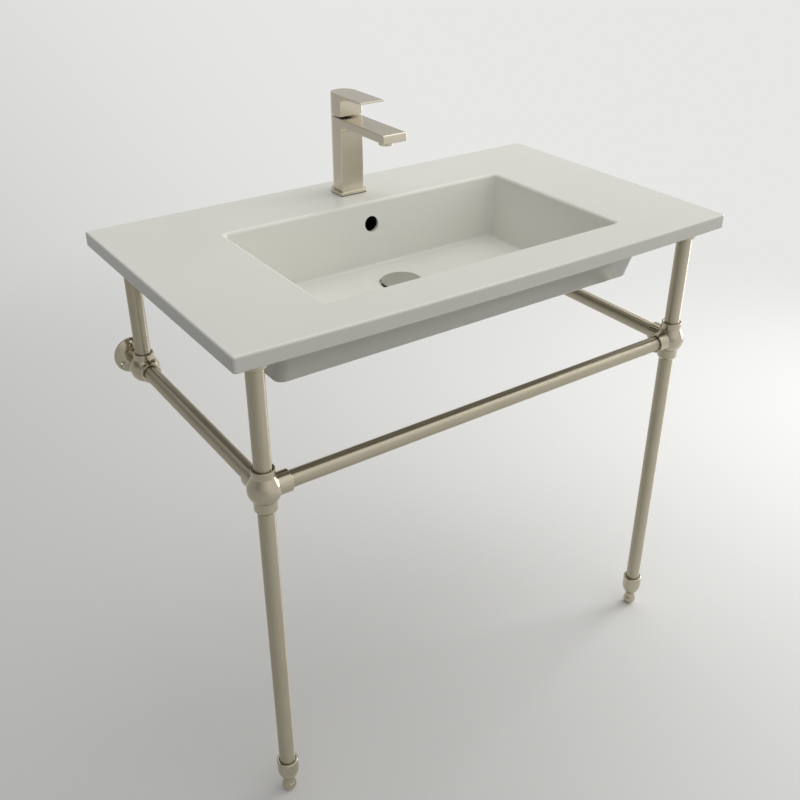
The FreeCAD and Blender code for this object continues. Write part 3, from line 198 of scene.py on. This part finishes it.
def glazed_ceramic():
    """Thick white glaze: softly wavy, paler on the edges, bare clay underneath, with painted shade in the
    overflow passage.
    """
    net = Nodes("glazed_ceramic")
    spot = net.place()
    x, y, z = net.split(spot)
    facing = net.split(net.normal())[2]
    waves = net.noise(spot, GLAZE_WAVES, **CLOUD_NOISE)
    ripples = net.noise(spot, GLAZE_RIPPLES)
    grit = net.noise(spot, CLAY_GRIT)
    bare = net.span(facing, *CLAY_FACING)
    painted_overflow_shade = net.times(
        net.span(y, *OVERFLOW_FRONT, smooth=True),
        net.span(y, *OVERFLOW_BACK),
        net.span(net.calc("ABSOLUTE", x), *OVERFLOW_SIDES),
        net.span(z, *OVERFLOW_TOP),
    )
    colour = net.blend(net.span(waves, *MOST), GLAZE_SHADE, GLAZE)
    colour = net.blend(net.times(net.edges(GLAZE_EDGE_WIDTH), GLAZE_EDGE_SHARE), colour, GLAZE_EDGE)
    clay = net.blend(grit, *(tint(CLAY, share) for share in CLAY_TINTS))
    colour = net.blend(bare, colour, clay)
    # The inside of the overflow passage is painted near black as shade
    colour = net.blend(painted_overflow_shade, colour, OVERFLOW_PAINTED_SHADE)
    gloss = net.span(ripples, *MOST, *GLAZE_ROUGHNESS)
    height = net.calc("ADD", ripples, net.times(grit, net.times(bare, CLAY_GRIT_HEIGHT)))
    return net.surface(
        Base_Color=colour,
        Roughness=net.calc("ADD", gloss, net.times(bare, CLAY_ROUGHER)),
        IOR=GLAZE_IOR,
        Normal=net.bump(height, *GLAZE_BUMP),
    )


# Satin nickel
STAND_NICKEL = (0.545, 0.494, 0.383)
FAUCET_NICKEL = (0.705, 0.645, 0.534)
DRAIN_NICKEL = (0.560, 0.550, 0.520)
STROKE_SPAN = (0.25, 0.75)
STROKE_TINTS = (0.95, 1.04)
STROKE_ROUGHNESS = 0.04
STROKE_BUMP = (0.05, 0.0002)
STROKES_ACROSS = 1500.0
STROKES_ALONG = 22.0
BLASTED_GRAIN = 1100.0
SATIN_CLOUDS = 16.0
SATIN_CLOUD_SPAN = (0.35, 0.70, 0.0, 0.35)
SATIN_CLOUD_TINT = 0.88
SATIN_EDGE_WIDTH = 0.0012
SATIN_EDGE_SHARE = 0.6
SATIN_EDGE_POLISH = 0.08
# How much paler the edges are: part wear, part painted highlight of edges catching the light
SATIN_WEAR_AND_HIGHLIGHT = 1.18
FAUCET_WEAR_AND_HIGHLIGHT = 1.22
# The highlight of a tube is drawn out along it, a quarter turn from the tangent that runs round the tube
TUBE_STRETCH = 0.95
TUBE_TURN = 0.25
# How level a face lies where its strokes turn from up to along Y
LEVEL_SPAN = (0.5, 0.8)


def satin(net, strokes, colour, roughness, edge_paling, **sockets):
    """Satin nickel over the given strokes: paler and smoother on the edges, the paler colour part wear and
    part a painted highlight.
    """
    clouds = net.noise(net.place(), SATIN_CLOUDS, **CLOUD_NOISE)
    tone = net.blend(net.span(strokes, *STROKE_SPAN), *(tint(colour, share) for share in STROKE_TINTS))
    tone = net.blend(net.span(clouds, *SATIN_CLOUD_SPAN), tone, tint(colour, SATIN_CLOUD_TINT))
    edge = net.edges(SATIN_EDGE_WIDTH)
    # Paler edges: part wear, part painted highlight
    tone = net.blend(net.times(edge, SATIN_EDGE_SHARE), tone, tint(colour, edge_paling))
    rough = net.span(strokes, *STROKE_SPAN, roughness - STROKE_ROUGHNESS, roughness + STROKE_ROUGHNESS)
    return net.surface(
        Base_Color=tone,
        Metallic=1.0,
        Roughness=net.calc("SUBTRACT", rough, net.times(edge, SATIN_EDGE_POLISH)),
        Normal=net.bump(strokes, *STROKE_BUMP),
        **sockets,
    )


def blasted(name, colour, roughness):
    """Castings and turned pieces: an even satin without strokes."""
    net = Nodes(name)
    grain = net.noise(net.place(), BLASTED_GRAIN, **GRAIN_NOISE)
    return satin(net, grain, colour, roughness, SATIN_WEAR_AND_HIGHLIGHT)


def ground(name, colour, axis, roughness):
    """Tubes, brushed round their axis, so that a highlight runs along them."""
    net = Nodes(name)
    scale = tuple(STROKES_ACROSS if letter == axis else STROKES_ALONG for letter in "XYZ")
    strokes = net.noise(net.stretch(net.place(), scale), 1.0, **GRAIN_NOISE)
    around = net.add("ShaderNodeTangent", direction_type="RADIAL", axis=axis).outputs[0]
    shine = {"Anisotropic": TUBE_STRETCH, "Anisotropic_Rotation": TUBE_TURN, "Tangent": around}
    return satin(net, strokes, colour, roughness, SATIN_WEAR_AND_HIGHLIGHT, **shine)


def faced(name, colour, roughness):
    """Satin nickel with its strokes up the upright faces and along Y on the level ones."""
    net = Nodes(name)
    spot = net.place()
    up = net.stretch(spot, (STROKES_ACROSS, STROKES_ACROSS, STROKES_ALONG))
    back = net.stretch(spot, (STROKES_ACROSS, STROKES_ALONG, STROKES_ACROSS))
    upright, level = (net.noise(way, 1.0, **GRAIN_NOISE) for way in (up, back))
    lie = net.calc("ABSOLUTE", net.split(net.normal())[2])
    return satin(net, net.mix(net.span(lie, *LEVEL_SPAN), upright, level), colour, roughness, FAUCET_WEAR_AND_HIGHLIGHT)


# Bare metal
STEEL = (0.520, 0.515, 0.500)
BRASS = (0.560, 0.400, 0.165)
TOOL_PITCH = 0.0006
TOOL_WAVES = 60.0
TOOL_TINTS = (0.85, 1.06)
TOOL_BUMP = (0.18, 0.0002)
METAL_CLOUDS = 60.0
METAL_CLOUD_SPAN = (0.4, 0.75, 0.0, 0.45)
METAL_CLOUD_TINT = 0.70
METAL_SMOOTHER = 0.06
METAL_ROUGHER = 0.10
# How much paler the edges are: part wear, part painted highlight of edges catching the light
METAL_WEAR_AND_HIGHLIGHT = 1.3
SMALL_EDGE_WIDTH = 0.0008


def machined(name, colour, roughness):
    """Turned or milled metal with faint tool marks round its axis."""
    net = Nodes(name)
    spot = net.place()
    marks = net.noise(net.stretch(spot, (TOOL_WAVES, TOOL_WAVES, 1.0 / TOOL_PITCH)), 1.0)
    clouds = net.noise(spot, METAL_CLOUDS, **CLOUD_NOISE)
    tone = net.blend(net.span(marks, *MOST), *(tint(colour, share) for share in TOOL_TINTS))
    tone = net.blend(net.span(clouds, *METAL_CLOUD_SPAN), tone, tint(colour, METAL_CLOUD_TINT))
    # Paler edges: part wear, part painted highlight
    tone = net.blend(net.edges(SMALL_EDGE_WIDTH), tone, tint(colour, METAL_WEAR_AND_HIGHLIGHT))
    return net.surface(
        Base_Color=tone,
        Metallic=1.0,
        Roughness=net.span(clouds, *MOST, roughness - METAL_SMOOTHER, roughness + METAL_ROUGHER),
        Normal=net.bump(marks, *TOOL_BUMP),
    )


# Rubber and plastic
RUBBER = (0.016, 0.016, 0.015)
PLASTIC = (0.022, 0.022, 0.023)
NYLON = (0.640, 0.630, 0.590)
MOULDED_CLOUDS = 40.0
MOULDED_TINTS = (0.85, 1.1)
MOULDED_EDGE_SHARE = 0.6
MOULDED_ROUGHNESS = 0.08
MOULDED_BUMP = (0.2, 0.0002)


def moulded(name, colour, roughness, grain, edge_paling):
    """Rubber or plastic with a fine moulded grain and paler edges."""
    net = Nodes(name)
    spot = net.place()
    pebble = net.noise(spot, grain, **GRAIN_NOISE)
    clouds = net.noise(spot, MOULDED_CLOUDS, **CLOUD_NOISE)
    tone = net.blend(net.span(clouds, *MOST), *(tint(colour, share) for share in MOULDED_TINTS))
    edge = net.times(net.edges(SMALL_EDGE_WIDTH), MOULDED_EDGE_SHARE)
    tone = net.blend(edge, tone, tint(colour, edge_paling))
    return net.surface(
        Base_Color=tone,
        Roughness=net.span(pebble, *MOST, roughness - MOULDED_ROUGHNESS, roughness + MOULDED_ROUGHNESS),
        Normal=net.bump(pebble, *MOULDED_BUMP),
    )


finishes = {
    "glazed_white": glazed_ceramic(),
    "stand_nickel": blasted("stand_nickel_cast", STAND_NICKEL, roughness=0.19),
    "faucet_nickel": faced("faucet_nickel", FAUCET_NICKEL, roughness=0.24),
    "drain_nickel": blasted("drain_nickel", DRAIN_NICKEL, roughness=0.16),
    "plain_steel": machined("plain_steel", STEEL, roughness=0.30),
    "raw_brass": machined("raw_brass", BRASS, roughness=0.34),
    "black_rubber": moulded("black_rubber", RUBBER, roughness=0.62, grain=900.0, edge_paling=2.2),
    "black_plastic": moulded("black_plastic", PLASTIC, roughness=0.42, grain=1400.0, edge_paling=2.0),
    "white_nylon": moulded("white_nylon", NYLON, roughness=0.48, grain=1200.0, edge_paling=1.1),
}
tube_finishes = {
    axis: ground(name, STAND_NICKEL, axis, roughness=0.36)
    for axis, name in {"X": "stand_nickel_across", "Y": "stand_nickel_back", "Z": "stand_nickel_up"}.items()
}
tube_axes = {"front_rail": "X", "side_rail": "Y", "upper_leg": "Z", "lower_leg": "Z", "rear_upright": "Z"}


def finish_of(part):
    """Tubes are brushed round their own axis, and all other pieces have the finish of their slot."""
    for ending, axis in tube_axes.items():
        if part["node"].endswith(ending):
            return tube_finishes[axis]
    return finishes[part["material_slot"]]


for part in frame["record"]["subparts"]:
    slots = nodes[part["node"]].data.materials
    slots.clear()
    slots.append(finish_of(part))

# Floor: painted lighter toward the right and darker toward the left, as if lit from the right, and fading to
# the pale background away from the sink
FLOOR = (0.84, 0.84, 0.83)
FLOOR_PAINTED_SHADE = (0.60, 0.60, 0.59)
FLOOR_BOUNCE = (0.25, 0.247, 0.237)
BACKGROUND = (0.80, 0.80, 0.79)
BACKGROUND_PAINTED_SHADE = (0.42, 0.42, 0.41)
FLOOR_REACH = 40.0
FLOOR_FADE = (0.9, 2.6)
# From the painted shade to the painted light: a distance along X near the sink, and more of a direction
# further out
SIDE_SPAN = (-1.05, 0.75)
SIDE_TURN = 0.6


def floor_finish():
    """A pale floor with painted shade toward the left and painted light toward the right, which throws less
    light back at the sink than it shows.
    """
    net = Nodes("floor")
    seen = net.seen()
    spot = net.place()
    away = net.length(spot)
    widening = net.span(away, 0.0, FLOOR_REACH, 1.0, 1.0 + SIDE_TURN * FLOOR_REACH)
    painted_light_side = net.span(net.calc("DIVIDE", net.split(spot)[0], widening), *SIDE_SPAN, smooth=True)
    near = net.add("ShaderNodeBsdfDiffuse")
    # Painted shade on the left and painted light on the right, near and far alike
    net.put(near.inputs["Color"], net.blend(seen, FLOOR_BOUNCE, net.blend(painted_light_side, FLOOR_PAINTED_SHADE, FLOOR)))
    far = net.add("ShaderNodeEmission")
    net.put(far.inputs["Color"], net.blend(painted_light_side, BACKGROUND_PAINTED_SHADE, BACKGROUND))
    mixer = net.add("ShaderNodeMixShader")
    net.put(mixer.inputs[0], net.times(net.span(away, *FLOOR_FADE, smooth=True), seen))
    net.put(mixer.inputs[1], near.outputs[0])
    net.put(mixer.inputs[2], far.outputs[0])
    output = net.add("ShaderNodeOutputMaterial")
    net.put(output.inputs["Surface"], mixer.outputs[0])
    return net.material


floor_mesh = bpy.data.meshes.new("floor")
floor_corners = [(x * FLOOR_REACH, y * FLOOR_REACH, 0) for x, y in ((-1, -1), (1, -1), (1, 1), (-1, 1))]
floor_mesh.from_pydata(floor_corners, [], [(0, 1, 2, 3)])
floor_mesh.materials.append(floor_finish())
floor = bpy.data.objects.new("floor", floor_mesh)
scene.collection.objects.link(floor)

# World: a soft dome, stronger overhead than at the horizon and dimmer on the left, with a glow at front right
DOME_TINT = (1.0, 0.995, 0.98)
DOME_STRENGTH = (0.18, 0.62)
DOME_LEFT_SPAN = (-0.9, 0.1)
DOME_LEFT_SHARE = (0.45, 1.0)
GLOW_WAY = (0.45, -0.80, 0.40)
GLOW_SPAN = (-0.1, 1.0)
GLOW_STRENGTH = (0.0, 0.58)
# Low down, the rays that show the background meet the floor's far colours, from the painted shade on the left
# to the lighter right
BACKDROP_SPAN = (-0.63, 0.45)
BACKDROP_HEIGHT = (0.45, 0.05)


def light_world(world):
    """Gives the world the dome, its glow and the backdrop."""
    net = Nodes("studio", world.node_tree)
    ray = net.add("ShaderNodeTexCoord").outputs["Generated"]
    x, _, z = net.split(ray)
    overhead = net.span(z, 0.0, 1.0, *DOME_STRENGTH)
    dome = net.times(overhead, net.span(x, *DOME_LEFT_SPAN, *DOME_LEFT_SHARE))
    dome = net.calc("ADD", dome, net.span(net.dot(ray, GLOW_WAY), *GLOW_SPAN, *GLOW_STRENGTH))
    backdrop = net.span(x, *BACKDROP_SPAN, BACKGROUND_PAINTED_SHADE[0], BACKGROUND[0], smooth=True)
    low = net.times(net.span(z, *BACKDROP_HEIGHT, smooth=True), net.seen())
    light = net.add("ShaderNodeBackground")
    net.put(light.inputs["Color"], DOME_TINT)
    net.put(light.inputs["Strength"], net.mix(low, dome, backdrop))
    output = net.add("ShaderNodeOutputWorld")
    net.put(output.inputs["Surface"], light.outputs[0])


scene.world = bpy.data.worlds.new("studio")
scene.world.use_nodes = True
light_world(scene.world)


def lamp(name, place, target, size, power):
    """A soft rectangular lamp that faces the target."""
    data = bpy.data.lights.new(name, "AREA")
    data.shape = "RECTANGLE"
    data.size, data.size_y = size
    data.energy = power
    item = bpy.data.objects.new(name, data)
    item.location = place
    item.rotation_mode = "QUATERNION"
    item.rotation_quaternion = (Vector(target) - Vector(place)).to_track_quat("-Z", "Y")
    scene.collection.objects.link(item)


lamp("window", place=(2.50, -0.30, 1.10), target=(0, 0, 0.80), size=(1.2, 2.0), power=30)
lamp("above", place=(0.35, 0.55, 2.20), target=(0.1, 0, 0.80), size=(2.0, 1.1), power=7.4)

# Camera, with its angles in degrees and its lens in millimetres
CAMERA_PLACE = (-0.8895, -1.2484, 1.4185)
CAMERA_TILT = 59.782
CAMERA_YAW = -34.647
CAMERA_LENS = 43.94
CAMERA_SENSOR = 36.0
view = bpy.data.cameras.new("camera")
view.sensor_width = CAMERA_SENSOR
view.lens = CAMERA_LENS
camera = bpy.data.objects.new("camera", view)
camera.location = CAMERA_PLACE
camera.rotation_euler = (math.radians(CAMERA_TILT), 0, math.radians(CAMERA_YAW))
scene.collection.objects.link(camera)
scene.camera = camera

scene.view_settings.view_transform = "Standard"
